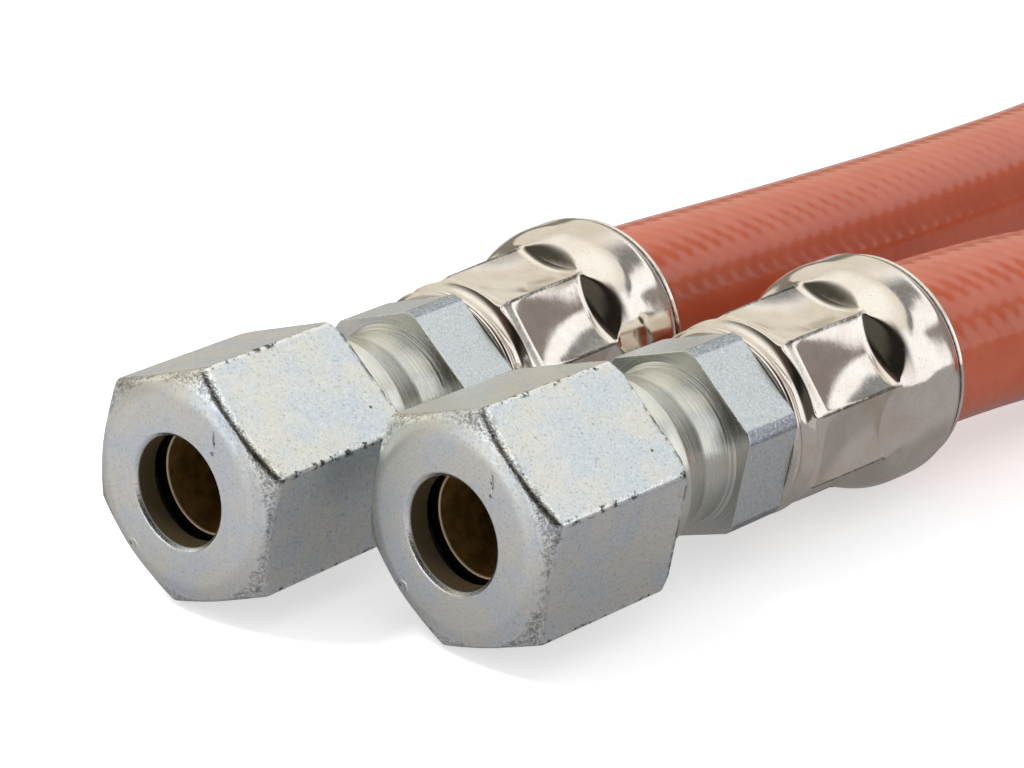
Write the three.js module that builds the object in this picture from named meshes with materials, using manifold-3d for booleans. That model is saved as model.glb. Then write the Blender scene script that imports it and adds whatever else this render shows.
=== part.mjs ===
// Flexible gas hose with a compression fitting on each end.
//
// A rubber hose with a textile braid is crimped onto two turned steel nipples. Each nipple ends in
// a threaded socket with a 24 degree cone, and carries a loose cutting ring and a union nut for a
// plain 8 mm pipe. The two ends lie side by side and the hose loops round behind them.
//
// Millimetres, +Z up. The origin is under the middle of the two fittings, on the surface they lie on.
// Each fitting is modelled along its own +Y axis, from the nut's front face towards the hose, so a
// profile is a list of [distance along the axis, radius].

import * as THREE from "three";
import { ConvexGeometry } from "three/addons/geometries/ConvexGeometry.js";
import { mergeVertices } from "three/addons/utils/BufferGeometryUtils.js";
import Module from "manifold-3d";

const wasm = await Module();
wasm.setup();

// General
const clearance = 0.3; // gap between pieces that touch
const overcut = 1; // how far a cutting tool runs past the face it cuts
const roundSides = 48; // facets round a turned surface
const chamferSlope = Math.tan(THREE.MathUtils.degToRad(30)); // of the chamfers on the hexagons
const hexTwist = 18; // degrees from +X to the first corner of the hexagons

// The pipe and the thread that both fittings share
const pipeRadius = 4;
const pipeFit = 0.05; // room round the pipe in the ring and the socket
const threadRadius = 7; // M14 x 1.5

// Union nut
const nutFlats = 17;
const nutLength = 14.8;
const nutFaceRadius = 7.9; // flat front face, inside the chamfer
const nutBackRadius = 8.9; // flat back face, inside the chamfer
const nutBoreFit = 0.2; // room round the pipe in the nut
const nutBoreLength = 1.9;
const nutBoreChamfer = 0.25;
const nutChamberRadius = 6.2; // holds the ring's collar
const nutThreadStart = 6.2;
const nutThreadChamfer = 0.6;

// Cutting ring
const ringFront = 3;
const ringCollarPlay = 0.4; // room round the collar in the nut
const ringSleeveLength = 2; // the part inside the cone

// Nipple
const nippleFace = 6.9; // distance from the nut's front face when hand tight
const nippleEdge = 0.6; // chamfer at the start of the thread
const coneMouthRadius = 5;
const coneSlope = Math.tan(THREE.MathUtils.degToRad(12)); // half of 24 degrees
const socketDepth = 7; // from the nipple's face to the pipe's stop
const nippleBoreRadius = 2.9;
const shankEnd = 17.4; // full radius up to here
const neckStart = 20.1; // narrowed by a cone up to here
const neckRadius = 6.05;
const neckFillet = 0.4;
const bodyHexFlats = 14;
const bodyHexFront = 23.2;
const bodyHexLength = 5.6;
const bodyHexTrim = 0.23; // turned off the hexagon's corners
const lipGrooveRadius = 4.6; // takes the ferrule's front lip
const lipShoulderRadius = 5.4;
const lipShoulderLength = 0.8;
const firstBarb = 1.36; // from the end of the shoulder
const barbCount = 4;
const barbPitch = 3.4;
const barbDepth = 0.35;
const tailLength = 15.2;

// Ferrule
const ferruleWall = 1;
const ferruleLength = 19.1;
const noseRadius = 7.6; // at the front face
const noseRimLength = 0.4;
const noseGrooveRadius = 7.2; // behind the rim
const noseGrooveLength = 0.9; // front face to the bottom of the groove
const ridgeRadius = 7.9; // at the front of the barrel
const barrelRadius = 8.5; // at its back
const bellRadius = 9.2;
const shoulderLength = 2.1; // front face to the pockets
const bellLength = 6; // end of the pockets to the mouth
const bellRampLength = 1.4; // from the barrel up to the bell
const lipRadius = 8.6; // at the mouth
const lipLength = 1.4; // of the rounded edge at the mouth
const pocketCount = 8;
const pocketTurn = 37; // degrees from +X to the middle of the first pocket
const pocketDepth = 1;
const pocketHalfWidth = 2.5; // at its floor
const pocketSideSlope = 1.25;
const pocketFrontSlope = 1.7;
const jawHeight = 2.5; // of a crimping jaw above the pocket's floor

// Hose
const hoseRadius = 7;
const hoseBoreRadius = 4;
const hoseSides = 12;
const hoseStep = 2; // diameters
const straightRun = 4; // hose that stays in line past each ferrule

// How the two ends lie
const passingGap = 0.4; // between the corners of the two nuts as they turn
const stagger = 8; // end B's nut lies this far in front of end A's
const splay = 3.5; // degrees between the two fittings

// The hose's centre line on the floor, from end B round to end A, between its straight runs
const route = [
  [-12.2, 46, 8.6], [-12.9, 68, 7.8], [-14.1, 90, 7.3], [-16.8, 112, 7.1], [-20.7, 134.6, 7.1],
  [-24, 157.2, 7.1], [-22.8, 181, 7.1], [-14, 202.6, 7.1], [2.1, 218.9, 7.1], [23.7, 228.4, 7.1],
  [47.3, 229.2, 7.1], [69.4, 220.7, 7.1], [86.7, 204.5, 7.1], [96.7, 183.1, 7.1], [97.9, 159.5, 7.1],
  [90.6, 137.5, 7.1], [75.6, 119.2, 7.1], [56.4, 104.4, 7.1], [38, 90.4, 7.1], [25.6, 77.9, 7.4],
  [17.1, 63.6, 8], [12.3, 48, 9],
];

// Values that follow from the sizes
const nutCornerRadius = nutFlats / Math.sqrt(3);
const nutBoreRadius = pipeRadius + nutBoreFit;
const nutThreadRadius = threadRadius + clearance;
const socketRadius = pipeRadius + pipeFit;
const coneLength = (coneMouthRadius - socketRadius) / coneSlope;
const bodyHexBack = bodyHexFront + bodyHexLength;
const ferruleFront = bodyHexBack + clearance;
const ferruleMouth = ferruleFront + ferruleLength;
const ferruleHoleRadius = lipGrooveRadius + clearance;
const ferruleMouthRadius = hoseRadius + clearance;
const lipGrooveEnd = ferruleFront + ferruleWall + clearance;
const tailStart = lipGrooveEnd + lipShoulderLength;
const hoseStart = tailStart + clearance;
const barbRadius = hoseBoreRadius - clearance;
const pocketFront = ferruleFront + shoulderLength;
const pocketBack = ferruleMouth - bellLength;
const pocketFloor = barrelRadius - pocketDepth;

// A closed mesh as a solid that can be cut and joined
function solid(geometry) {
  geometry.deleteAttribute("normal");
  geometry.deleteAttribute("uv");
  const merged = mergeVertices(geometry);
  const corners = merged.index.array;
  const triangles = [];
  for (let i = 0; i < corners.length; i += 3) {
    const [a, b, c] = corners.slice(i, i + 3);
    if (a !== b && b !== c && c !== a) triangles.push(a, b, c);
  }
  return new wasm.Manifold(new wasm.Mesh({
    numProp: 3,
    vertProperties: new Float32Array(merged.attributes.position.array),
    triVerts: new Uint32Array(triangles),
  }));
}

// The solid back as a named mesh
function piece(name, shape, look) {
  const { vertProperties, triVerts } = shape.getMesh();
  const geometry = new THREE.BufferGeometry();
  geometry.setAttribute("position", new THREE.BufferAttribute(vertProperties, 3));
  geometry.setIndex(new THREE.BufferAttribute(triVerts, 1));
  geometry.computeVertexNormals();
  const mesh = new THREE.Mesh(geometry, new THREE.MeshStandardMaterial(look));
  mesh.name = name;
  return mesh;
}

// A profile of [along, radius] points turned about the Y axis
function turned(profile, sides = roundSides, start = 0) {
  const points = profile.map(([along, radius]) => new THREE.Vector2(radius, along));
  return solid(new THREE.LatheGeometry(points, sides, start, 2 * Math.PI));
}

// A hexagonal prism, which is a rod turned with six sides
function hexagon(flats, from, to) {
  const corner = flats / Math.sqrt(3);
  const start = THREE.MathUtils.degToRad(90 - hexTwist);
  return turned([[from, 0], [from, corner], [to, corner], [to, 0]], 6, start);
}

// A block that tapers towards the axis, one for each jaw of the crimping tool, with its floor at a radius
function pockets(floor) {
  const blocks = [];
  for (let i = 0; i < pocketCount; i++) {
    const corners = [];
    for (const [up, grow] of [[floor, 0], [floor + jawHeight, jawHeight]]) {
      const half = pocketHalfWidth + grow * pocketSideSlope;
      const from = pocketFront + pocketFrontSlope * (pocketDepth - grow);
      const to = pocketBack - pocketDepth + grow;
      for (const across of [-half, half]) {
        for (const along of [from, to]) corners.push(new THREE.Vector3(up, along, across));
      }
    }
    const block = new ConvexGeometry(corners);
    const turn = pocketTurn + (360 / pocketCount) * i;
    block.rotateY(-THREE.MathUtils.degToRad(turn));
    blocks.push(solid(block));
  }
  return blocks;
}

function cutAll(shape, tools) {
  return tools.reduce((left, tool) => left.subtract(tool), shape);
}

function unionNut() {
  const outside = nutCornerRadius + clearance;
  const front = (outside - nutFaceRadius) * chamferSlope;
  const back = (outside - nutBackRadius) * chamferSlope;
  const chamfered = turned([
    [0, 0], [0, nutFaceRadius], [front, outside],
    [nutLength - back, outside], [nutLength, nutBackRadius], [nutLength, 0],
  ]);
  const shoulderEnd = nutBoreLength + nutChamberRadius - nutBoreRadius;
  const bore = turned([
    [-overcut, 0], [-overcut, nutBoreRadius + nutBoreChamfer + overcut], [nutBoreChamfer, nutBoreRadius],
    [nutBoreLength, nutBoreRadius], [shoulderEnd, nutChamberRadius], [nutThreadStart, nutChamberRadius],
    [nutThreadStart, nutThreadRadius], [nutLength - nutThreadChamfer, nutThreadRadius],
    [nutLength + overcut, nutThreadRadius + nutThreadChamfer + overcut], [nutLength + overcut, 0],
  ]);
  return hexagon(nutFlats, 0, nutLength).intersect(chamfered).subtract(bore);
}

function cuttingRing() {
  const gapAlong = clearance * Math.SQRT2; // along the axis, across the 45 degree shoulder
  const frontRadius = nutBoreRadius + ringFront - nutBoreLength - gapAlong;
  const collarRadius = nutChamberRadius - ringCollarPlay;
  const collarFront = ringFront + collarRadius - frontRadius;
  const collarBack = nippleFace - clearance;
  const sleeveRadius = (along) => coneMouthRadius - (along - nippleFace) * coneSlope - clearance;
  const sleeveEnd = collarBack + ringSleeveLength;
  return turned([
    [ringFront, socketRadius], [ringFront, frontRadius], [collarFront, collarRadius],
    [collarBack, collarRadius], [collarBack, sleeveRadius(nippleFace)],
    [nippleFace, sleeveRadius(nippleFace)], [sleeveEnd, sleeveRadius(sleeveEnd)],
    [sleeveEnd, socketRadius], [ringFront, socketRadius],
  ]);
}

function hoseNipple() {
  const barbs = [];
  for (let i = 0; i < barbCount; i++) {
    const from = tailStart + firstBarb + barbPitch * i;
    barbs.push([from, barbRadius], [from + barbPitch, barbRadius - barbDepth]);
  }
  const tailEnd = tailStart + tailLength;
  const outside = turned([
    [nippleFace, 0], [nippleFace, threadRadius - nippleEdge], [nippleFace + nippleEdge, threadRadius],
    [shankEnd, threadRadius], [neckStart, neckRadius], [bodyHexFront - neckFillet, neckRadius],
    [bodyHexFront, neckRadius + neckFillet / 2], [bodyHexBack - neckFillet, neckRadius],
    [bodyHexBack - neckFillet, lipGrooveRadius], [lipGrooveEnd, lipGrooveRadius],
    [lipGrooveEnd, lipShoulderRadius], [tailStart, lipShoulderRadius],
    [tailStart, barbRadius - barbDepth], ...barbs,
    [tailEnd, barbRadius - barbDepth], [tailEnd, 0],
  ]);
  const stop = nippleFace + socketDepth;
  const bore = turned([
    [nippleFace - overcut, 0], [nippleFace - overcut, coneMouthRadius + overcut * coneSlope],
    [nippleFace + coneLength, socketRadius], [stop, socketRadius], [stop, nippleBoreRadius],
    [tailEnd + overcut, nippleBoreRadius], [tailEnd + overcut, 0],
  ]);
  const hexRadius = bodyHexFlats / Math.sqrt(3) - bodyHexTrim;
  const rod = turned([
    [bodyHexFront, 0], [bodyHexFront, hexRadius], [bodyHexBack, hexRadius], [bodyHexBack, 0],
  ]);
  const bodyHex = hexagon(bodyHexFlats, bodyHexFront, bodyHexBack).intersect(rod);
  return outside.add(bodyHex).subtract(bore);
}

function crimpFerrule() {
  const bellRise = bellRadius - barrelRadius;
  const lipDrop = bellRadius - lipRadius;
  const outside = cutAll(turned([
    [ferruleFront, 0], [ferruleFront, noseRadius], [ferruleFront + noseRimLength, noseRadius],
    [ferruleFront + noseGrooveLength, noseGrooveRadius], [pocketFront, ridgeRadius],
    [pocketBack - pocketDepth, barrelRadius],
    [pocketBack + bellRampLength / 4, bellRadius - bellRise / 4], [pocketBack + bellRampLength, bellRadius],
    [ferruleMouth - lipLength, bellRadius], [ferruleMouth - lipLength / 4, bellRadius - lipDrop / 3],
    [ferruleMouth, lipRadius], [ferruleMouth, 0],
  ]), pockets(pocketFloor));
  const shoulderHole = lipShoulderRadius + clearance;
  const inside = cutAll(turned([
    [ferruleFront - overcut, 0], [ferruleFront - overcut, ferruleHoleRadius],
    [ferruleFront + ferruleWall, ferruleHoleRadius], [ferruleFront + ferruleWall, shoulderHole],
    [tailStart, shoulderHole], [tailStart, ferruleMouthRadius], [pocketBack, barrelRadius - ferruleWall],
    [pocketBack + bellRampLength, bellRadius - ferruleWall],
    [ferruleMouth - lipLength, bellRadius - ferruleWall], [ferruleMouth - lipLength / 2, ferruleMouthRadius],
    [ferruleMouth + overcut, ferruleMouthRadius], [ferruleMouth + overcut, 0],
  ]), pockets(pocketFloor - ferruleWall));
  return outside.subtract(inside);
}

// One hose, swept along its centre line, with the crimp's marks pressed into both ends
function gasHose(path, ends) {
  const section = new THREE.Shape().absarc(0, 0, hoseRadius, 0, 2 * Math.PI);
  section.holes.push(new THREE.Path().absarc(0, 0, hoseBoreRadius, 0, 2 * Math.PI, true));
  const steps = Math.round(path.getLength() / (hoseStep * 2 * hoseRadius));
  // A circle is drawn with twice its curve segments
  const swept = new THREE.ExtrudeGeometry(section, {
    steps, bevelEnabled: false, extrudePath: path, curveSegments: hoseSides / 2,
  });
  let shape = solid(swept);
  for (const end of ends) {
    for (const tool of pockets(pocketFloor - ferruleWall - clearance)) {
      shape = shape.subtract(tool.transform(end.matrixWorld.elements));
    }
  }
  return shape;
}

const zincSteel = { color: 0xb2b9bb, roughness: 0.4, metalness: 1 };
const turnedSteel = { color: 0xaab0ad, roughness: 0.35, metalness: 1 };
const nickelSteel = { color: 0xcfc8bb, roughness: 0.15, metalness: 1 };
const brass = { color: 0x9a7438, roughness: 0.35, metalness: 1 };
const rubber = { color: 0xb85a3e, roughness: 0.4, metalness: 0 };

function fitting(letter) {
  const group = new THREE.Group();
  group.add(
    piece(`union_nut_${letter}`, unionNut(), zincSteel),
    piece(`cutting_ring_${letter}`, cuttingRing(), brass),
    piece(`hose_nipple_${letter}`, hoseNipple(), turnedSteel),
    piece(`crimp_ferrule_${letter}`, crimpFerrule(), nickelSteel),
  );
  return group;
}

const endA = fitting("a");
const endB = fitting("b");
const turnB = THREE.MathUtils.degToRad(splay);
const spacing = 2 * nutCornerRadius + passingGap;
endB.position.set(stagger * Math.tan(turnB) - spacing, -stagger, 0);
endB.rotation.z = turnB;

const fittings = new THREE.Group();
fittings.add(endA, endB);
const footprint = new THREE.Box3().setFromObject(fittings, true);
const middle = footprint.getCenter(new THREE.Vector3());
fittings.position.set(-middle.x, -middle.y, -footprint.min.z);
fittings.updateMatrixWorld(true);

function straight(end) {
  return [hoseStart, (hoseStart + ferruleMouth) / 2, ferruleMouth, ferruleMouth + straightRun]
    .map((along) => end.localToWorld(new THREE.Vector3(0, along, 0)));
}

const centreLine = new THREE.CatmullRomCurve3([
  ...straight(endB),
  ...route.map(([x, y, z]) => new THREE.Vector3(x, y, z)),
  ...straight(endA).reverse(),
]);

const gasHoseAssembly = new THREE.Group();
gasHoseAssembly.add(fittings, piece("hose", gasHose(centreLine, [endA, endB]), rubber));

export default gasHoseAssembly;
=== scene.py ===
"""Studio scene of a flexible gas hose with a compression fitting on each end.

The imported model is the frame. Each fitting is built along its own +Y axis, in millimetres from the
nut's front face, and then put at its place in the frame. Everything in the scene is in metres.
"""

import math

import bpy
import numpy as np
from mathutils import Matrix, Vector


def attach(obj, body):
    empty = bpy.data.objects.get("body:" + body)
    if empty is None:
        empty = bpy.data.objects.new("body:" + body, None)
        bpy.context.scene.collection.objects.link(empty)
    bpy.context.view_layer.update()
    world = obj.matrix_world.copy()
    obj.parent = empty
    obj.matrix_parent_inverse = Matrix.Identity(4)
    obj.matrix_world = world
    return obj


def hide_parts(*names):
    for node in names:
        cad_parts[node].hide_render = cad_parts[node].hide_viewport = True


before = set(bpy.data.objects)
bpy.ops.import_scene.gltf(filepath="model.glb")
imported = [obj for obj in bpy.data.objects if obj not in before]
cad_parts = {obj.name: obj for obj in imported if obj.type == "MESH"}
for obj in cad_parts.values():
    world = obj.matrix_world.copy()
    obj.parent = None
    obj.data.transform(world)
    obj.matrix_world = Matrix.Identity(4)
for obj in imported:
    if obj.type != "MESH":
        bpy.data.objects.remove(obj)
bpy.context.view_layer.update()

MM = 0.001

# The camera, fitted to the photograph
PHOTO_WIDTH = 1024  # pixels
FOCAL_PIXELS = 3000
SENSOR = 36.0  # mm
CAMERA_PLACE = (0.144958, -0.154974, 0.091580)
CAMERA_AZIMUTH = math.radians(43.45)
CAMERA_ELEVATION = math.radians(20.44)

# Where each fitting lies: the centre of its nut's front face in mm, and its turn about Z in degrees
FITTINGS = {"a": ((11.123, -19.859, 9.6), 0.0), "b": ((-8.418, -27.859, 9.6), 3.5)}

# Sizes in mm, as in the CAD model. Places are distances from the nut's front face.
HEX_TWIST = 18.0  # degrees, of both hexagons
PIPE_RADIUS = 4.05  # of the socket and the ring, with the pipe's clearance

NUT_FLATS = 17.0
NUT_LENGTH = 14.8
NUT_BACK_FACE = 8.9
NUT_HOLE = 4.2
NUT_RING_ROOM = 6.2

RING_FRONT = 3.0
RING_BACK = 8.6
RING_RADIUS = 5.8

THREAD_RADIUS = 7.0
THREAD_GAP = 0.3

NECK_RADIUS = 6.05
NIPPLE_FLATS = 14.0
HEX_ROD = 7.85  # radius of the rod that the nipple's hexagon was cut from
HEX_START = 23.2
HEX_END = 28.8
TAIL_START = 31.2
TAIL_END = 46.4
TAIL_RADIUS = 3.35
TAIL_BORE = 2.9
BARBS = 4
BARB_RADIUS = 3.7
BARB_PITCH = 3.4

FERRULE_MOUTH = 48.2
POCKETS = 8
POCKET_TURN = math.radians(37)
POCKET_EVERY = 2 * math.pi / POCKETS

HOSE_RADIUS = 7.0
HOSE_BORE = 4.0
HOSE_START = 31.5
STRAIGHT_RUN = 4.0

# The hose's centre line between its straight runs, from end B round to end A, in metres
ROUTE = [
    (-0.0122, 0.046, 0.0086), (-0.0129, 0.068, 0.0078), (-0.0141, 0.09, 0.0073),
    (-0.0168, 0.112, 0.0071), (-0.0207, 0.1346, 0.0071), (-0.024, 0.1572, 0.0071),
    (-0.0228, 0.181, 0.0071), (-0.014, 0.2026, 0.0071), (0.0021, 0.2189, 0.0071),
    (0.0237, 0.2284, 0.0071), (0.0473, 0.2292, 0.0071), (0.0694, 0.2207, 0.0071),
    (0.0867, 0.2045, 0.0071), (0.0967, 0.1831, 0.0071), (0.0979, 0.1595, 0.0071),
    (0.0906, 0.1375, 0.0071), (0.0756, 0.1192, 0.0071), (0.0564, 0.1044, 0.0071),
    (0.038, 0.0904, 0.0071), (0.0256, 0.0779, 0.0074), (0.0171, 0.0636, 0.008),
    (0.0123, 0.048, 0.009),
]


def placed(letter):
    """The matrix that takes a fitting's own metres to its place in the frame."""
    place, turn = FITTINGS[letter]
    return Matrix.Translation(Vector(place) * MM) @ Matrix.Rotation(math.radians(turn), 4, "Z")


PLACES = {letter: placed(letter) for letter in FITTINGS}


# The camera

def make_camera():
    """Sets the camera up and returns the direction towards it."""
    data = bpy.data.cameras.new("camera")
    data.sensor_width = SENSOR
    data.lens = FOCAL_PIXELS / PHOTO_WIDTH * SENSOR
    data.clip_start = 0.01
    data.clip_end = 50
    camera = bpy.data.objects.new("camera", data)
    bpy.context.scene.collection.objects.link(camera)
    level = math.cos(CAMERA_ELEVATION)
    forward = Vector((
        -level * math.sin(CAMERA_AZIMUTH),
        level * math.cos(CAMERA_AZIMUTH),
        -math.sin(CAMERA_ELEVATION),
    ))
    camera.location = CAMERA_PLACE
    camera.rotation_mode = "QUATERNION"
    camera.rotation_quaternion = forward.to_track_quat("-Z", "Y")
    bpy.context.scene.camera = camera
    return -forward


TO_CAMERA = make_camera()


# Meshes

SHARPEST = 0.05  # half of the sharpest corner that is rounded, in radians
CORNER_SHARE = 0.45  # how much of a side one rounded corner may take


def mesh_object(name, vertices, faces):
    mesh = bpy.data.meshes.new(name)
    mesh.from_pydata(vertices.reshape(-1, 3).tolist(), [], faces.tolist())
    mesh.update()
    mesh.shade_smooth()
    obj = bpy.data.objects.new(name, mesh)
    bpy.context.scene.collection.objects.link(obj)
    return obj


def loop_faces(rows, columns):
    """Quads of a grid that closes on itself both ways."""
    i, j = np.meshgrid(np.arange(rows), np.arange(columns), indexing="ij")
    down, across = (i + 1) % rows, (j + 1) % columns
    grid = [i * columns + j, down * columns + j, down * columns + across, i * columns + across]
    return np.stack(grid, axis=-1).reshape(-1, 4)


def even_angles(count):
    return np.linspace(0, 2 * math.pi, count, endpoint=False)


def row(along, radius, angles):
    """One row of (along, radius) over the angles."""
    count = len(angles)
    return np.stack([np.broadcast_to(along, count), np.broadcast_to(radius, count)], axis=1)


def rounded(corners, angles, steps=4):
    """Rows over the angles, from corners given as (along, radius, rounding, rows after it)."""
    points = np.array([row(corner[0], corner[1], angles) for corner in corners])
    rows = []
    for i, corner in enumerate(corners):
        here = points[i]
        before = points[i - 1] - here
        after = points[(i + 1) % len(corners)] - here
        length_before = np.linalg.norm(before, axis=1, keepdims=True)
        length_after = np.linalg.norm(after, axis=1, keepdims=True)
        before = before / length_before
        after = after / length_after
        rounding = corner[2]
        if rounding:
            cosine = np.clip((before * after).sum(axis=1, keepdims=True), -1, 1)
            half = np.maximum(np.arccos(cosine) / 2, SHARPEST)
            trim = rounding / np.tan(half)
            trim = np.minimum(trim, CORNER_SHARE * np.minimum(length_before, length_after))
            start, end = here + before * trim, here + after * trim
            for t in np.linspace(0, 1, steps + 1):
                rows.append((1 - t) ** 2 * start + 2 * t * (1 - t) * here + t ** 2 * end)
        else:
            rows.append(here)
        if len(corner) > 3:
            rows.extend(corner[3])
    return rows


def turned(name, rows, angles, letter, body, look, node):
    """A closed ring of rows swept about the fitting's axis, standing for a CAD node."""
    rows = np.array(rows)
    along, radius = rows[..., 0], rows[..., 1]
    vertices = np.stack([radius * np.cos(angles), along, radius * np.sin(angles)], axis=-1) * MM
    faces = loop_faces(*along.shape)
    profile_area = 0.5 * np.sum(
        along[:, 0] * np.roll(radius[:, 0], -1) - np.roll(along[:, 0], -1) * radius[:, 0]
    )
    if profile_area < 0:
        faces = faces[:, ::-1]
    obj = mesh_object(name, vertices, faces)
    obj.modifiers.new("normals", "WEIGHTED_NORMAL")
    obj.matrix_world = PLACES[letter]
    obj.data.materials.append(look)
    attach(obj, body)
    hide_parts(node)


def hexagon(flats, angles, rounding):
    """The radius of a hexagon with rounded corners at each angle."""
    turn = (np.degrees(angles) - HEX_TWIST + 30) % 60 - 30
    from_corner = np.radians(np.abs(turn))
    flat = flats / 2 / np.cos(math.radians(30) - from_corner)
    corner = flats / math.sqrt(3)
    centre = corner - rounding / math.cos(math.radians(30))
    reach = math.atan2(rounding / 2, centre + rounding * math.cos(math.radians(30)))
    inside = np.minimum(from_corner, reach)
    arc = centre * np.cos(inside) + np.sqrt(rounding ** 2 - (centre * np.sin(inside)) ** 2)
    return np.where(from_corner < reach, arc, flat)


def hexagon_angles(per_side, rounding_degrees):
    """Angles round a hexagon, closer together at its corners."""
    crowding = 1.2
    half = 30 * np.linspace(0, 1, per_side // 2 + 1)[1:] ** crowding
    near = np.linspace(0, rounding_degrees, 4)
    side = np.concatenate([near, half[half > rounding_degrees * 1.3]])
    both = np.concatenate([side, -side[1:-1]])
    turns = np.concatenate([both + 60 * k + HEX_TWIST for k in range(6)])
    return np.radians(np.unique(np.round(turns % 360, 6)))


# The threads, which are plain cylinders in the CAD model, and where they run
THREAD_PITCH = 1.5
THREAD_DEPTH = 0.85
NUT_THREAD = (6.3, 14.1)
NIPPLE_THREAD = (7.7, 14.7)


def thread_rows(start, end, major, angles):
    """Rows of a right-handed thread that runs out at both ends."""
    spacing = 0.125
    fade = 0.8
    flank_slope = 2.7
    half_crest = 0.17
    rows = []
    for along in np.arange(start, end, spacing):
        phase = (along / THREAD_PITCH + angles / (2 * math.pi)) % 1
        height = np.clip(np.abs(phase - 0.5) * flank_slope - half_crest, 0, 1)
        run_out = np.clip(min(along - start, end - along) / fade, 0, 1)
        deep = (1 - height) * THREAD_DEPTH * run_out
        rows.append(row(along, major - deep, angles))
    return rows


# The fittings, each outline given as corners of (along, radius, rounding)

# The nut's edges, which are rounder than the plain chamfers of the CAD model
NUT_FACE = 7.3  # radius of its flat front face
CHAMFER = math.tan(math.radians(25))  # of its front edge
BACK_CHAMFER = 0.9


def union_nut(letter, look):
    angles = hexagon_angles(44, 2.2)
    outside = hexagon(NUT_FLATS, angles, 0.3)
    front = (outside - NUT_FACE) * CHAMFER
    back_face = np.minimum(NUT_BACK_FACE, outside - 0.4)
    back = NUT_LENGTH - (outside - back_face) * BACK_CHAMFER
    # From the thread's major radius inwards, so that it clears the nipple's thread everywhere
    root = THREAD_RADIUS + THREAD_GAP
    thread = thread_rows(*NUT_THREAD, root, angles)[::-1]
    corners = [
        (0.3, NUT_HOLE, 0.1), (0, 4.5, 0.3), (0, NUT_FACE, 1.9), (front, outside, 1.1),
        (back, outside, 0.25), (NUT_LENGTH, back_face, 0.12), (NUT_LENGTH, 7.9, 0.06),
        (14.2, root, 0.05, thread), (6.2, root, 0.1), (6.2, NUT_RING_ROOM, 0.1),
        (3.9, NUT_RING_ROOM, 0.1), (1.9, NUT_HOLE, 0.05),
    ]
    turned(f"nut_{letter}", rounded(corners, angles, 6), angles, letter, f"nut_{letter}",
           look, f"union_nut_{letter}")


def cutting_ring(letter, look):
    angles = even_angles(96)
    corners = [
        (RING_FRONT, PIPE_RADIUS, 0.12), (RING_FRONT, 4.876, 0.12), (3.924, RING_RADIUS, 0.15),
        (6.6, RING_RADIUS, 0.15), (6.6, 4.7, 0.05), (6.9, 4.7, 0), (RING_BACK, 4.339, 0.08),
        (RING_BACK, PIPE_RADIUS, 0.05),
    ]
    turned(f"ring_{letter}", rounded(corners, angles), angles, letter, f"ring_{letter}",
           look, f"cutting_ring_{letter}")


def hose_nipple(letter, look):
    angles = hexagon_angles(60, 3.0)
    outside = np.minimum(hexagon(NIPPLE_FLATS, angles, 0.2), HEX_ROD)
    thread = thread_rows(*NIPPLE_THREAD, THREAD_RADIUS, angles)
    barbs = []
    for i in range(BARBS):
        start = TAIL_START + BARB_PITCH * (i + 0.4)
        barbs += [(start, BARB_RADIUS, 0.05), (start + 3.39, TAIL_RADIUS, 0)]
    corners = [
        (6.9, 5.0, 0.06), (6.9, 6.4, 0.08), (7.5, THREAD_RADIUS, 0.06, thread),
        (17.4, THREAD_RADIUS, 0.4), (20.1, NECK_RADIUS, 0.9), (22.75, NECK_RADIUS, 0.1),
        (22.85, 6.2, 0.05), (23.05, 6.2, 0.05), (HEX_START, 6.4, 0.1), (HEX_START, outside, 0.12),
        (HEX_END, outside, 0.14), (HEX_END, 4.6, 0.05), (30.4, 4.6, 0.05), (30.4, 5.4, 0.05),
        (TAIL_START, 5.4, 0.05), (TAIL_START, TAIL_RADIUS, 0.05), *barbs, (TAIL_END, TAIL_RADIUS, 0.1),
        (TAIL_END, TAIL_BORE, 0.1), (13.9, TAIL_BORE, 0.05), (13.9, PIPE_RADIUS, 0.05),
        (11.37, PIPE_RADIUS, 0.1),
    ]
    turned(f"nipple_{letter}", rounded(corners, angles), angles, letter, "hose_assembly",
           look, f"hose_nipple_{letter}")


# The ferrule's outline between its pockets: rim, groove, barrel, bell and rolled mouth
BARREL = np.array([
    (28.87, 7.35), (28.92, 7.5), (29.05, 7.6), (29.25, 7.6), (29.4, 7.5), (29.6, 7.27), (29.85, 7.2),
    (30.3, 7.22), (30.7, 7.48), (31.05, 7.9), (31.3, 8.0), (31.6, 8.0), (33.0, 8.04), (36.0, 8.12),
    (41.0, 8.3), (41.8, 8.62), (42.6, 8.96), (43.5, 9.17), (44.6, 9.2), (46.6, 9.2), (47.0, 9.12),
    (47.35, 8.95), (47.6, 8.77), (47.75, 8.72), (47.85, 8.77), (47.95, 8.86), (48.1, 8.86),
    (48.25, 8.76),
])
BLUR = np.linspace(-0.16, 0.16, 9)  # rounds the outline's corners
BELL_BLUR = 2  # how many times more on the bell
BELL_START = (41.0, 42.5)
BELL_END = (46.0, 46.8)

# A pocket: a straight land in front, a hollow floor that is deepest past its middle, and a back wall
LAND_START = 31.2
LAND_SLOPE = 3.0
LAND_RADIUS = 7.2
FLOOR_START = 32.2
FLOOR_END = 40.5
FLOOR_RADIUS = 7.3
FLOOR_STEP = 0.14
FLOOR_HOLLOW = 0.6
HOLLOW_REACH = 6.5
FLOOR_CURL = 0.073
BACK_SLOPE = 1.7
BACK_CURVE = 0.3
BACK_REACH = 2.3
BACK_EASE = 1.38  # what the curve has taken off the slope at its reach
BACK_START = (40.5, 42.0)

# How sharp the pocket's edges are: lower is rounder
FRONT_SHARPNESS = 22.0
BACK_SHARPNESS = 9.0
POCKET_SHARPNESS = 30.0

FERRULE_START = 28.87  # its turned rim stands a little in front of the CAD model's
FERRULE_WALL = 0.9

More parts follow.
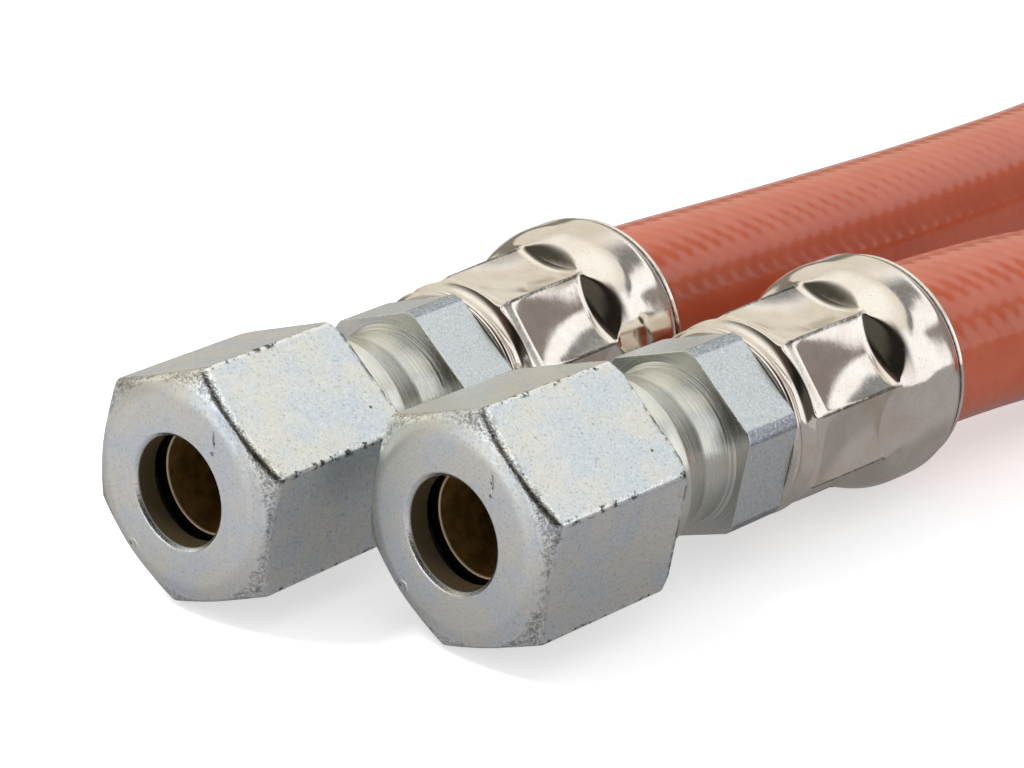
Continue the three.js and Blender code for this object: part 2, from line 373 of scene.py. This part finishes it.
# Where the ferrule's rows stand: from, to and spacing, closer together where it bends
FERRULE_ROWS = [
    (28.9, 30.8, 0.08), (30.8, 33.4, 0.07), (33.4, 40.8, 0.3), (40.8, 43.6, 0.08),
    (43.6, 46.6, 0.12), (46.6, 48.2, 0.07),
]
INSIDE_ROWS = (46.6, 31.4, -0.4)
INSIDE_RADIUS = 7.9  # at most


def smooth_max(values, sharpness):
    top = np.max(values, axis=0)
    return top + np.log(sum(np.exp(sharpness * (v - top)) for v in values)) / sharpness


def smooth_min(values, sharpness):
    return -smooth_max([-v for v in values], sharpness)


def smooth_step(value, low, high):
    t = np.clip((value - low) / (high - low), 0, 1)
    return t * t * (3 - 2 * t)


def crimped(along, angles):
    """The ferrule's outside radius: a barrel with eight crimp pockets pressed into it."""
    soft = 1 + BELL_BLUR * smooth_step(along, *BELL_START) - BELL_BLUR * smooth_step(along, *BELL_END)
    barrel = np.interp(along + BLUR * soft, BARREL[:, 0], BARREL[:, 1]).mean()
    turn = (angles - POCKET_TURN + POCKET_EVERY / 2) % POCKET_EVERY - POCKET_EVERY / 2
    reach = np.clip((along - FLOOR_START) / HOLLOW_REACH, 0, 1)
    hollow = reach * (2 - reach)
    step = FLOOR_STEP * smooth_step(along, LAND_START, FLOOR_START)
    middle = FLOOR_RADIUS + step - FLOOR_HOLLOW * hollow
    curl = FLOOR_CURL * hollow
    cosine = np.cos(turn)
    floor = 2 * middle / (cosine + np.sqrt(cosine ** 2 - 4 * curl * middle * np.sin(turn) ** 2))
    front = np.full_like(angles, LAND_RADIUS + (LAND_START - along) * LAND_SLOPE)
    past = along - FLOOR_END
    curve = BACK_CURVE * np.clip(past, 0, BACK_REACH) ** 2
    back = floor + BACK_SLOPE * past - curve - BACK_EASE * max(past - BACK_REACH, 0)
    pressed = smooth_max([floor, front, back], POCKET_SHARPNESS)
    softening = (FRONT_SHARPNESS - BACK_SHARPNESS) * smooth_step(along, *BACK_START)
    return smooth_min([np.full_like(angles, barrel), pressed], FRONT_SHARPNESS - softening)


def crimp_angles(per_pocket):
    """Angles round the ferrule, closer together at the ridges between the pockets."""
    crowding = 1.5
    t = np.linspace(-1, 1, per_pocket, endpoint=False)
    turn = np.sign(t) * (1 - (1 - np.abs(t)) ** crowding) * math.pi / POCKETS
    turns = [POCKET_TURN + k * POCKET_EVERY + turn for k in range(POCKETS)]
    return np.sort(np.concatenate(turns) % (2 * math.pi))


def crimp_ferrule(letter, look):
    angles = crimp_angles(44)
    stops = np.concatenate([np.arange(*span) for span in FERRULE_ROWS])
    outside = [row(s, crimped(s, angles), angles) for s in np.unique(stops.round(3))]
    inside = [
        row(s, np.minimum(crimped(s, angles) - FERRULE_WALL, INSIDE_RADIUS), angles)
        for s in np.arange(*INSIDE_ROWS)
    ]
    mouth = [row(47.4, 7.3, angles)]
    corners = [
        (FERRULE_START, 4.9, 0.1), (FERRULE_START, 7.2, 0.05, outside), (48.3, 8.6, 0.1),
        (48.3, 7.3, 0.25, mouth + inside), (31.2, 7.0, 0.05), (31.2, 5.7, 0.1), (30.1, 5.7, 0.1),
        (30.1, 4.9, 0.1),
    ]
    turned(f"ferrule_{letter}", rounded(corners, angles), angles, letter, "hose_assembly",
           look, f"crimp_ferrule_{letter}")


# The hose

HOSE_RINGS = 560
HOSE_SIDES = 48
CURVE_STEPS = 60  # between two points of the route
SQUEEZE = 0.75  # how far the crimp presses it in
SQUEEZE_END = 4.5  # from the ferrule's mouth
SQUEEZE_RAMP = 1.5
BORE_SHRINK = 0.05  # how much narrower the bore is than in the CAD model


def centre_line():
    """Points that the hose follows, from inside end B's ferrule round to inside end A's."""
    middle = (HOSE_START + FERRULE_MOUTH) / 2
    places = [HOSE_START, middle, FERRULE_MOUTH, FERRULE_MOUTH + STRAIGHT_RUN]

    def straight(letter):
        return [PLACES[letter] @ Vector((0, along * MM, 0)) for along in places]

    points = [*straight("b"), *map(Vector, ROUTE), *reversed(straight("a"))]
    return np.array([tuple(p) for p in points])


def catmull_rom(points, per_span):
    """The centripetal curve through the points."""
    first, last = 2 * points[0] - points[1], 2 * points[-1] - points[-2]
    guide = np.vstack([first, points, last])
    curve = []
    for i in range(1, len(guide) - 2):
        p0, p1, p2, p3 = guide[i - 1:i + 3]
        d1, d2, d3 = (math.sqrt(np.linalg.norm(b - a)) for a, b in ((p0, p1), (p1, p2), (p2, p3)))
        m1 = ((p1 - p0) / d1 - (p2 - p0) / (d1 + d2) + (p2 - p1) / d2) * d2
        m2 = ((p2 - p1) / d2 - (p3 - p1) / (d2 + d3) + (p3 - p2) / d3) * d2
        for t in np.linspace(0, 1, per_span, endpoint=False):
            curve.append(
                (2 * t ** 3 - 3 * t ** 2 + 1) * p1 + (t ** 3 - 2 * t ** 2 + t) * m1
                + (3 * t ** 2 - 2 * t ** 3) * p2 + (t ** 3 - t ** 2) * m2
            )
    return np.vstack([curve, points[-1]])


def even_path(count):
    """Evenly spaced points of the hose's centre line, and their distances along it."""
    fine = catmull_rom(centre_line(), CURVE_STEPS)
    steps = np.linalg.norm(np.diff(fine, axis=0), axis=1)
    reach = np.concatenate([[0], np.cumsum(steps)])
    lengths = np.linspace(0, reach[-1], count)
    return np.stack([np.interp(lengths, reach, fine[:, k]) for k in range(3)], axis=1), lengths


def gas_hose(look):
    path, lengths = even_path(HOSE_RINGS)
    tangent = np.gradient(path, axis=0)
    tangent /= np.linalg.norm(tangent, axis=1, keepdims=True)
    across = np.cross(tangent, [0, 0, 1])
    across /= np.linalg.norm(across, axis=1, keepdims=True)
    up = np.cross(across, tangent)
    angles = even_angles(HOSE_SIDES)
    cosine, sine = np.cos(angles), np.sin(angles)
    crimp = FERRULE_MOUTH - HOSE_START
    from_end = np.minimum(lengths, lengths[-1] - lengths) / MM
    pressed = np.clip((crimp - SQUEEZE_END - from_end) / SQUEEZE_RAMP, 0, 1)
    rings = []
    for radius in (HOSE_RADIUS - SQUEEZE * pressed, np.full(HOSE_RINGS, HOSE_BORE - BORE_SHRINK)):
        spokes = across[:, None] * cosine[None, :, None] + up[:, None] * sine[None, :, None]
        rings.append(path[:, None] + MM * radius[:, None, None] * spokes)
    vertices = np.vstack([rings[0], rings[1][::-1]])
    obj = mesh_object("gas_hose", vertices, loop_faces(2 * HOSE_RINGS, HOSE_SIDES)[:, ::-1])
    # Each vertex keeps its distance along the hose and its turn about it, which the braid follows
    turn = np.zeros((2 * HOSE_RINGS, HOSE_SIDES, 3))
    turn[..., 0] = np.concatenate([lengths, lengths[::-1]])[:, None] / MM
    turn[..., 1] = cosine
    turn[..., 2] = sine
    attribute = obj.data.attributes.new("turn", "FLOAT_VECTOR", "POINT")
    attribute.data.foreach_set("vector", turn.reshape(-1).astype(np.float32))
    obj.data.materials.append(look)
    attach(obj, "hose_assembly")
    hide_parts("hose")


# Materials

# Colours in sRGB from 0 to 255
ZINC_BLUE = (221, 230, 237)
ZINC_CREAM = (234, 235, 228)
ZINC_PALE_GRAIN = (242, 246, 248)
ZINC_DARK_GRAIN = (140, 146, 146)
REAR_SCUFF = (128, 134, 134)
BARE_BURR = (244, 246, 246)
DIRTY_BURR = (92, 94, 90)
# Painted dark reflection on the nut's front edges
FRONT_EDGE_REFLECTION = (84, 86, 84)
PIT = (70, 72, 70)
# Painted reflection of the brass ring and painted shade in the nut's bore
BORE_BRASS_REFLECTION = (96, 84, 62)
SCRATCH = (70, 72, 66)
TURNED_COOL = (216, 220, 216)
TURNED_WARM = (226, 226, 218)
DRAWN_BAR = (214, 222, 226)
BAR_PALE_GRAIN = (240, 244, 248)
BAR_DARK_GRAIN = (140, 146, 150)
TOOL_MARK = (130, 134, 128)
# Painted dark reflection on the nipple hexagon's cut corners
CORNER_REFLECTION = (140, 148, 160)
# Painted brown reflection and painted shade inside the nipple's bore
BORE_REFLECTION_SHADE = (104, 86, 52)
NICKEL_WARM = (224, 216, 206)
NICKEL_PALE = (232, 228, 220)
NICKEL_GRIT = (150, 136, 118)
# Painted dark reflections in the ferrule's creases and in the groove behind its mouth
CREASE_REFLECTION = (58, 52, 42)
MOUTH_REFLECTION = (44, 40, 32)
BRASS_DARK = (128, 96, 44)
BRASS_PALE = (166, 128, 70)
RING_SHADOW = (22, 18, 12)
# Painted highlight on the cutting ring's inner lip
RING_LIP_HIGHLIGHT = (236, 214, 176)
RUBBER_DARK = (186, 87, 56)
RUBBER_PALE = (191, 93, 62)

# Marks on the nut's front face, in its own mm
DIMPLE_PLACE = (-4.86, 0.0, -5.42)
DIMPLE_RADIUS = 0.42
SCRATCH_NARROWING = (4.5, 1.0, 1.0)
SCRATCH_PLACE = (17.9, 0.0, 5.0)  # after the narrowing
SCRATCH_FOOT = (3.79, 0.0, 3.95)

RIDGE_TURN = 41.0  # from a material's turn to the middle between two ridges, in degrees
RIDGE_MIDDLE = 22.2  # in each pocket's 45 degrees
BUMP_HEIGHT = 0.00005
CHANCE_RANGE = 50.0  # how far apart the pieces' noises are
STRANDS = 16  # of the braid, round the hose
BRAID_PITCH = 1.9  # mm


def linear(red, green, blue):
    """An sRGB colour of 0 to 255 as Blender's linear colour."""
    def one(value):
        value /= 255
        return value / 12.92 if value <= 0.04045 else ((value + 0.055) / 1.055) ** 2.4
    return (one(red), one(green), one(blue), 1.0)


class Nodes:
    """A tree whose shader nodes are added by short calls."""

    def __init__(self, tree):
        self.tree = tree

    def add(self, kind, inputs=None, output=0, **settings):
        made = self.tree.nodes.new("ShaderNode" + kind)
        for key, value in settings.items():
            setattr(made, key, value)
        for key, value in (inputs or {}).items():
            if isinstance(value, bpy.types.NodeSocket):
                self.tree.links.new(value, made.inputs[key])
            else:
                made.inputs[key].default_value = value
        return made.outputs[output]

    def separate(self, vector):
        made = self.tree.nodes.new("ShaderNodeSeparateXYZ")
        self.tree.links.new(vector, made.inputs[0])
        return made.outputs

    def math(self, operation, first, second=0.0):
        return self.add("Math", {0: first, 1: second}, operation=operation)

    def times(self, first, *others):
        for other in others:
            first = self.math("MULTIPLY", first, other)
        return first

    def plus(self, first, second):
        return self.math("ADD", first, second)

    def minus(self, first, second):
        return self.math("SUBTRACT", first, second)

    def largest(self, first, *others):
        for other in others:
            first = self.math("MAXIMUM", first, other)
        return first

    def apart(self, first, second):
        """How far two values are apart."""
        return self.math("ABSOLUTE", self.minus(first, second))

    def spread(self, value, low, high, to_low=0.0, to_high=1.0):
        """A smooth step from one value at the low end to another at the high end."""
        return self.add("MapRange", {
            "Value": value, "From Min": low, "From Max": high, "To Min": to_low, "To Max": to_high,
        }, interpolation_type="SMOOTHSTEP")

    def towards(self, direction, target):
        """The cosine between a direction and a target."""
        return self.add("VectorMath", {0: direction, 1: tuple(target)}, output="Value",
                        operation="DOT_PRODUCT")

    def mix(self, factor, first, second):
        return self.add("Mix", {0: factor, 6: first, 7: second}, output=2, data_type="RGBA")

    def seen_by(self, kind):
        return self.add("LightPath", output=f"Is {kind} Ray")


class Look(Nodes):
    """A material whose nodes are added by short calls."""

    def __init__(self, name):
        self.material = bpy.data.materials.new(name)
        self.material.use_nodes = True
        super().__init__(self.material.node_tree)
        self.shader = self.tree.nodes["Principled BSDF"]

    def link(self, **sockets):
        for key, value in sockets.items():
            target = self.shader.inputs[key.replace("_", " ")]
            if isinstance(value, bpy.types.NodeSocket):
                self.tree.links.new(value, target)
            else:
                target.default_value = value

    def own_mm(self):
        """The piece's own place, in millimetres."""
        own = self.add("TexCoord", output="Object")
        return self.add("VectorMath", {0: own, 3: 1000.0}, operation="SCALE")

    def local(self):
        """The piece's own place, the distance along its axis, the radius, and degrees about it."""
        point = self.own_mm()
        x, along, z = self.separate(point)
        radius = self.math("SQRT", self.plus(self.times(x, x), self.times(z, z)))
        turn = self.times(self.math("ARCTAN2", z, x), 180 / math.pi)
        # Never below zero, and with the hexagon's corners in the middle of each 60 degrees
        return point, along, radius, self.plus(turn, 360.0 + 30.0 - HEX_TWIST)

    def chance(self):
        """A value of its own for each piece, so that no two have the same noise."""
        return self.times(self.add("ObjectInfo", output="Random"), CHANCE_RANGE)

    def far(self, point, place):
        """Distance from a place, in millimetres."""
        return self.add("VectorMath", {0: point, 1: place}, output="Value", operation="DISTANCE")

    def noise(self, scale, vector, detail=2.0, roughness=0.5, w=None):
        inputs = {"Scale": scale, "Detail": detail, "Roughness": roughness, "Vector": vector}
        if w is None:
            return self.add("TexNoise", inputs, noise_dimensions="3D")
        return self.add("TexNoise", {**inputs, "W": w}, noise_dimensions="4D")

    def ring_noise(self, scale, along, radius, detail, roughness=0.5):
        """Noise that makes rings about the axis, as a lathe does."""
        return self.noise(scale, self.add("CombineXYZ", {0: radius, 1: along}), detail, roughness)

    def mottled(self, cloud, first, second):
        return self.mix(self.spread(cloud, 0.35, 0.65), linear(*first), linear(*second))

    def tinted(self, base, amount, colour):
        return self.mix(amount, base, linear(*colour))

    def bump(self, height, distance, strength):
        return self.add("Bump", {"Height": height, "Distance": distance, "Strength": strength})


def zinc_look():
    look = Look("zinc")
    point, along, radius, turn = look.local()
    chance = look.chance()
    cloud = look.noise(0.35, point, detail=3, w=chance)
    speck = look.noise(5.5, point, detail=3, roughness=0.7, w=chance)
    grit = look.noise(11.0, point, detail=1, w=chance)
    base = look.mottled(cloud, ZINC_BLUE, ZINC_CREAM)
    # Fine pale and dark grains, weaker on the faced front
    flank = look.spread(along, 0.05, 0.5, 0.75, 1.0)
    base = look.tinted(base, look.times(look.spread(speck, 0.52, 0.66), flank), ZINC_PALE_GRAIN)
    dark = look.times(look.spread(speck, 0.44, 0.33, 0, 0.55), flank)
    base = look.tinted(base, dark, ZINC_DARK_GRAIN)
    # Burrs and scuffs where the flats meet, and along both ends of them
    patch = look.noise(1.7, point, detail=4, roughness=0.7, w=chance)
    edge = look.apart(look.math("MODULO", turn, 60.0), 30.0)
    burr = look.times(look.spread(edge, 2.4, 1.0), look.spread(along, 1.0, 1.4))
    rear = look.times(look.spread(along, 14.0, 14.4), look.spread(radius, 7.6, 8.0))
    base = look.tinted(base, look.times(rear, look.spread(patch, 0.62, 0.45)), REAR_SCUFF)
    # How far behind the chamfer a place on the flats is
    behind = look.minus(along, look.times(look.minus(radius, NUT_FACE), CHAMFER))
    front = look.times(look.spread(behind, 0.75, 0.4), look.spread(radius, 8.0, 8.3))
    worn = look.largest(burr, look.times(rear, 0.6), look.times(front, 0.45))
    base = look.tinted(base, look.times(worn, look.spread(patch, 0.5, 0.57)), BARE_BURR)
    base = look.tinted(base, look.times(worn, look.spread(patch, 0.47, 0.4)), DIRTY_BURR)
    # Painted dark reflection on the rounded front edges of the flats, broken up by specks
    edge_reflection = look.times(
        look.spread(behind, 0.5, 0.2), look.spread(behind, -0.15, 0.0),
        look.spread(radius, 8.3, 8.5), look.spread(speck, 0.56, 0.44, 0.0, 0.45),
    )
    base = look.tinted(base, edge_reflection, FRONT_EDGE_REFLECTION)
    pits = look.add("TexVoronoi", {"Vector": point, "Scale": 0.3}, feature="F1")
    base = look.tinted(base, look.times(look.spread(pits, 0.06, 0.03), flank), PIT)
    # The bore is painted brown and dark: a painted reflection of the brass ring and painted shade in
    # the hole
    bore = look.times(look.spread(radius, 4.4, 4.25), look.spread(along, 0.15, 0.35))
    base = look.tinted(base, bore, BORE_BRASS_REFLECTION)
    polish = look.largest(front, look.spread(radius, 4.75, 4.6), look.times(burr, 0.6))
    rough = look.minus(look.spread(speck, 0.3, 0.7, 0.44, 0.3), look.times(polish, 0.2))
    # Turning marks on the front face, a small dimple and a scratch
    marks = look.ring_noise(5.0, along, radius, detail=3)
    rim = look.apart(look.far(point, DIMPLE_PLACE), DIMPLE_RADIUS)
    dimple = look.spread(rim, 0.2, 0.0)
    thin = look.add("VectorMath", {0: point, 1: SCRATCH_NARROWING}, operation="MULTIPLY")
    scratch = look.plus(
        look.spread(look.far(thin, SCRATCH_PLACE), 0.75, 0.4),
        look.spread(look.far(point, SCRATCH_FOOT), 0.2, 0.1),
    )
    base = look.tinted(base, look.times(scratch, look.spread(speck, 0.56, 0.44)), SCRATCH)
    grains = look.plus(look.times(speck, 0.7), look.times(grit, 0.3))
    height = look.plus(look.times(grains, flank), look.times(marks, 0.12))
    height = look.plus(height, look.times(look.minus(dimple, scratch), 1.6))
    height = look.plus(height, look.times(patch, worn, 1.2))
    look.link(
        Base_Color=base, Metallic=look.spread(bore, 0.0, 1.0, 1.0, 0.4), Roughness=rough,
        Normal=look.bump(height, BUMP_HEIGHT, 0.7),
    )
    return look.material


def turned_steel_look():
    look = Look("turned_steel")
    point, along, radius, _ = look.local()
    chance = look.chance()
    cloud = look.noise(0.5, point, detail=3, w=chance)
    speck = look.noise(5.5, point, detail=3, roughness=0.7, w=chance)
    lines = look.ring_noise(6.0, along, radius, detail=4, roughness=0.7)
    # The hexagon is a drawn bar, the rest is turned
    bar = look.times(look.spread(along, 23.22, 23.4), look.spread(radius, 6.7, 6.9))
    base = look.mottled(cloud, TURNED_COOL, TURNED_WARM)
    base = look.tinted(base, bar, DRAWN_BAR)
    base = look.tinted(base, look.times(look.spread(speck, 0.52, 0.66), bar), BAR_PALE_GRAIN)
    base = look.tinted(base, look.times(look.spread(speck, 0.44, 0.34, 0, 0.5), bar), BAR_DARK_GRAIN)
    base = look.tinted(base, look.spread(lines, 0.42, 0.34, 0, 0.35), TOOL_MARK)
    # Painted dark reflection, speckled, along the hexagon's cut corners
    corner_reflection = look.times(bar, look.spread(radius, 7.72, 7.82), look.spread(speck, 0.7, 0.4, 0.3, 0.9))
    base = look.tinted(base, corner_reflection, CORNER_REFLECTION)
    # Painted brown reflection and painted shade inside the bore, towards the front
    bore_reflection = look.times(look.spread(radius, 4.6, 4.4), look.spread(along, 22.0, 20.0))
    base = look.tinted(base, bore_reflection, BORE_REFLECTION_SHADE)
    rough = look.spread(look.plus(lines, look.times(bar, 0.4)), 0.3, 0.9, 0.12, 0.4)
    height = look.plus(look.times(lines, look.minus(1.0, bar)), look.times(speck, 0.7, bar))
    look.link(
        Base_Color=base, Metallic=1.0, Roughness=rough, Normal=look.bump(height, BUMP_HEIGHT, 0.8),
    )
    return look.material


def nickel_look():
    look = Look("nickel")
    point, along, _, turn = look.local()
    chance = look.chance()
    cloud = look.noise(0.4, point, detail=3, w=chance)
    fine = look.noise(2.2, point, detail=4, roughness=0.6, w=chance)
    grit = look.noise(9.0, point, detail=2, w=chance)
    base = look.mottled(cloud, NICKEL_WARM, NICKEL_PALE)
    base = look.tinted(base, look.spread(grit, 0.4, 0.3, 0, 0.5), NICKEL_GRIT)
    # Painted dark reflections: a line in the crease beside each ridge between the pockets, and one in
    # the groove behind the mouth
    every = math.degrees(POCKET_EVERY)
    ridge = look.apart(look.math("MODULO", look.plus(turn, RIDGE_TURN), every), RIDGE_MIDDLE)
    crease_reflection = look.times(
        look.spread(ridge, 1.5, 0.5), look.spread(along, 31.3, 31.9),
        look.spread(along, 41.0, 40.2), look.spread(fine, 0.3, 0.6, 0.35, 0.85),
    )
    base = look.tinted(base, crease_reflection, CREASE_REFLECTION)
    # Painted dark reflection in the groove behind the rolled mouth
    mouth = look.times(
        look.spread(along, 47.3, 47.5), look.spread(along, 47.9, 47.75),
        look.spread(fine, 0.3, 0.6, 0.6, 0.9),
    )
    base = look.tinted(base, mouth, MOUTH_REFLECTION)
    height = look.plus(look.times(cloud, 0.3), look.times(fine, 0.025))
    height = look.plus(height, look.times(grit, 0.02))
    look.link(
        Base_Color=base, Metallic=1.0, Roughness=look.spread(fine, 0.3, 0.7, 0.07, 0.13),
        Normal=look.bump(height, 0.00008, 0.8),
    )
    return look.material


def brass_look():
    look = Look("brass")
    point, along, radius, _ = look.local()
    lines = look.ring_noise(6.0, along, radius, detail=3, roughness=0.6)
    base = look.mottled(look.noise(0.9, point, detail=3), BRASS_DARK, BRASS_PALE)
    face = look.times(look.spread(radius, 4.16, 4.22), look.spread(along, 3.5, 3.3))
    base = look.tinted(base, face, RING_SHADOW)
    # Painted highlight on the ring's inner lip
    lip_highlight = look.times(look.spread(radius, 4.2, 4.12), look.spread(along, 3.22, 3.08))
    base = look.tinted(base, lip_highlight, RING_LIP_HIGHLIGHT)
    look.link(
        Base_Color=base, Metallic=0.6, Roughness=look.spread(lines, 0.3, 0.7, 0.3, 0.45),
        Normal=look.bump(lines, 0.00003, 0.6),
    )
    return look.material


def hose_look():
    look = Look("hose")
    stored = look.add("Attribute", output="Vector", attribute_name="turn")
    arc, cosine, sine = look.separate(stored)
    # Two sets of strands cross each other, the second one weaker
    round_phase = look.times(look.math("ARCTAN2", sine, cosine), float(STRANDS))
    along_phase = look.times(arc, 2 * math.pi / BRAID_PITCH)
    one = look.math("SINE", look.plus(round_phase, along_phase))
    other = look.math("SINE", look.minus(round_phase, along_phase))
    weave = look.plus(one, look.times(other, 0.45))
    own = look.own_mm()
    cloud = look.noise(0.25, own, detail=3)
    fine = look.noise(3.0, own, detail=2)
    height = look.plus(look.times(weave, 0.15), look.times(fine, 0.03))
    look.link(
        Base_Color=look.mottled(cloud, RUBBER_DARK, RUBBER_PALE), Specular_IOR_Level=0.5,
        Roughness=look.spread(fine, 0.3, 0.7, 0.12, 0.17), Normal=look.bump(height, BUMP_HEIGHT, 1.0),
    )
    return look.material


# The floor, the light and the world

FLOOR_SIZE = 8
FLOOR_DROP = 0.0001  # under what lies on it
FLOOR_COLOUR = (0.86, 0.86, 0.86, 1)
FLOOR_GLOW = 0.52  # lifts it to white for the camera
MIRRORED_FLOOR = (0.18, 0.168, 0.165, 1)
MIRRORED_GLOW = (1.0, 0.965, 0.96, 1)

KEY_PLACE = (-0.36, -0.3, 0.82)
KEY_SIZE = 0.25
KEY_POWER = 4.6

# What the metal mirrors, in linear light
WHITE_BOX = (1.26, 1.26, 1.28, 1)
CREAM_BOX = (0.88, 0.82, 0.72, 1)
CEILING = (0.87, 0.83, 0.75, 1)
CEILING_TOP = (1.2, 1.18, 1.12, 1)
SEAM = (0.02, 0.02, 0.015, 1)
GAP = (0.30, 0.265, 0.25, 1)
OVERHEAD = (0.08, 0.075, 0.06, 1)
LEFT_STRIP = (0.10, 0.09, 0.06, 1)
CAMERA_SIDE_LOW = (0.09, 0.085, 0.07, 1)
CAMERA_SIDE_MIDDLE = (0.015, 0.013, 0.011, 1)
CAMERA_SIDE_HIGH = (0.08, 0.05, 0.04, 1)
LOW_BOX = (1.2, 1.21, 1.24, 1)
LOW_BOX_DIRECTION = (-0.18, -0.97, 0.17)
PLAIN_LIGHT = (0.75, 0.75, 0.76, 1)
WHITE = (1, 1, 1, 1)


def make_stage():
    """A floor that is white for the camera and duller for what the metal mirrors."""
    bpy.ops.mesh.primitive_plane_add(size=FLOOR_SIZE, location=(0, 0, -FLOOR_DROP))
    floor = bpy.context.object
    floor.name = "floor"
    look = Look("floor")
    look.link(Base_Color=FLOOR_COLOUR, Roughness=0.9, Specular_IOR_Level=0.0)
    matt = look.shader.outputs[0]
    glow = look.add("Emission", {"Color": WHITE, "Strength": FLOOR_GLOW})
    seen = look.add("AddShader", {0: matt, 1: glow})
    # What the metal mirrors is paler towards the front and the left
    right, back, _ = look.separate(look.add("NewGeometry", output="Position"))
    pale = look.largest(look.spread(back, -0.022, -0.05), look.spread(right, -0.03, -0.09))
    shine = look.add("Emission", {
        "Color": MIRRORED_GLOW, "Strength": look.spread(pale, 0.0, 1.0, 0.215, 0.4),
    })
    dull = look.add("BsdfDiffuse", {"Color": MIRRORED_FLOOR})
    mirrored = look.add("AddShader", {0: dull, 1: shine})
    mixed = look.add("MixShader", {0: look.seen_by("Glossy"), 1: matt, 2: mirrored})
    mixed = look.add("MixShader", {0: look.seen_by("Camera"), 1: mixed, 2: seen})
    look.tree.links.new(mixed, look.tree.nodes["Material Output"].inputs[0])
    floor.data.materials.append(look.material)


def make_key_lamp():
    data = bpy.data.lights.new("key", "AREA")
    data.shape = "DISK"
    data.size = KEY_SIZE
    data.energy = KEY_POWER
    obj = bpy.data.objects.new("key", data)
    bpy.context.scene.collection.objects.link(obj)
    obj.location = KEY_PLACE
    obj.rotation_mode = "QUATERNION"
    obj.rotation_quaternion = (-Vector(KEY_PLACE)).to_track_quat("-Z", "Y")
    # The metal mirrors the world's soft boxes instead
    obj.visible_glossy = False


def make_world():
    """White for the camera, plain light for matt surfaces, and soft boxes for the metal to mirror."""
    world = bpy.data.worlds.new("studio")
    world.use_nodes = True
    bpy.context.scene.world = world
    world.node_tree.nodes.clear()
    sky = Nodes(world.node_tree)
    direction = sky.add("TexCoord", output="Generated")
    right, back, up = sky.separate(direction)
    # A white box at the back, paler cream to the left and overhead, with a dark seam between
    low = sky.mix(sky.spread(right, -0.5, 0.0), CREAM_BOX, WHITE_BOX)
    high = sky.mix(sky.spread(up, 0.6, 0.95), CEILING, CEILING_TOP)
    room = sky.mix(sky.spread(up, 0.66, 0.72), low, high)
    seam = sky.times(
        sky.spread(up, 0.585, 0.62), sky.spread(up, 0.71, 0.67), sky.spread(right, -0.3, 0.0),
        sky.spread(back, 0.2, 0.5), 0.8,
    )
    room = sky.mix(seam, room, SEAM)
    # A dull gap between the boxes straight behind
    gap = sky.times(
        sky.spread(sky.math("DIVIDE", right, back), 0.8, 0.7), sky.spread(up, 0.46, 0.4),
        sky.spread(right, -0.3, -0.15), sky.spread(back, 0.4, 0.6),
    )
    room = sky.mix(gap, room, GAP)
    # The front of the ceiling is dark, and so is a strip low on the left
    overhead = sky.times(sky.spread(back, -0.05, -0.6), sky.spread(up, 0.5, 0.64))
    room = sky.mix(overhead, room, OVERHEAD)
    strip = sky.times(sky.spread(up, 0.22, 0.16), sky.spread(right, -0.2, -0.4), 0.8)
    room = sky.mix(strip, room, LEFT_STRIP)
    # The dark side of the room, where the camera is, and a box low at the front left
    dark = sky.mix(sky.spread(up, 0.3, 0.5), CAMERA_SIDE_LOW, CAMERA_SIDE_MIDDLE)
    dark = sky.mix(sky.spread(up, 0.6, 0.78), dark, CAMERA_SIDE_HIGH)
    room = sky.mix(sky.spread(sky.towards(direction, TO_CAMERA), 0.56, 0.84), room, dark)
    near_box = sky.spread(sky.towards(direction, LOW_BOX_DIRECTION), 0.9, 0.95)
    room = sky.mix(near_box, room, LOW_BOX)
    plain = sky.mix(sky.seen_by("Glossy"), PLAIN_LIGHT, room)
    colour = sky.mix(sky.seen_by("Camera"), plain, WHITE)
    background = sky.add("Background", {"Color": colour, "Strength": 1.0})
    output = sky.tree.nodes.new("ShaderNodeOutputWorld")
    sky.tree.links.new(background, output.inputs[0])


make_stage()
make_world()
make_key_lamp()

ZINC = zinc_look()
STEEL = turned_steel_look()
NICKEL = nickel_look()
BRASS = brass_look()
for letter in FITTINGS:
    union_nut(letter, ZINC)
    cutting_ring(letter, BRASS)
    hose_nipple(letter, STEEL)
    crimp_ferrule(letter, NICKEL)
gas_hose(hose_look())

bpy.context.scene.view_settings.view_transform = "Standard"
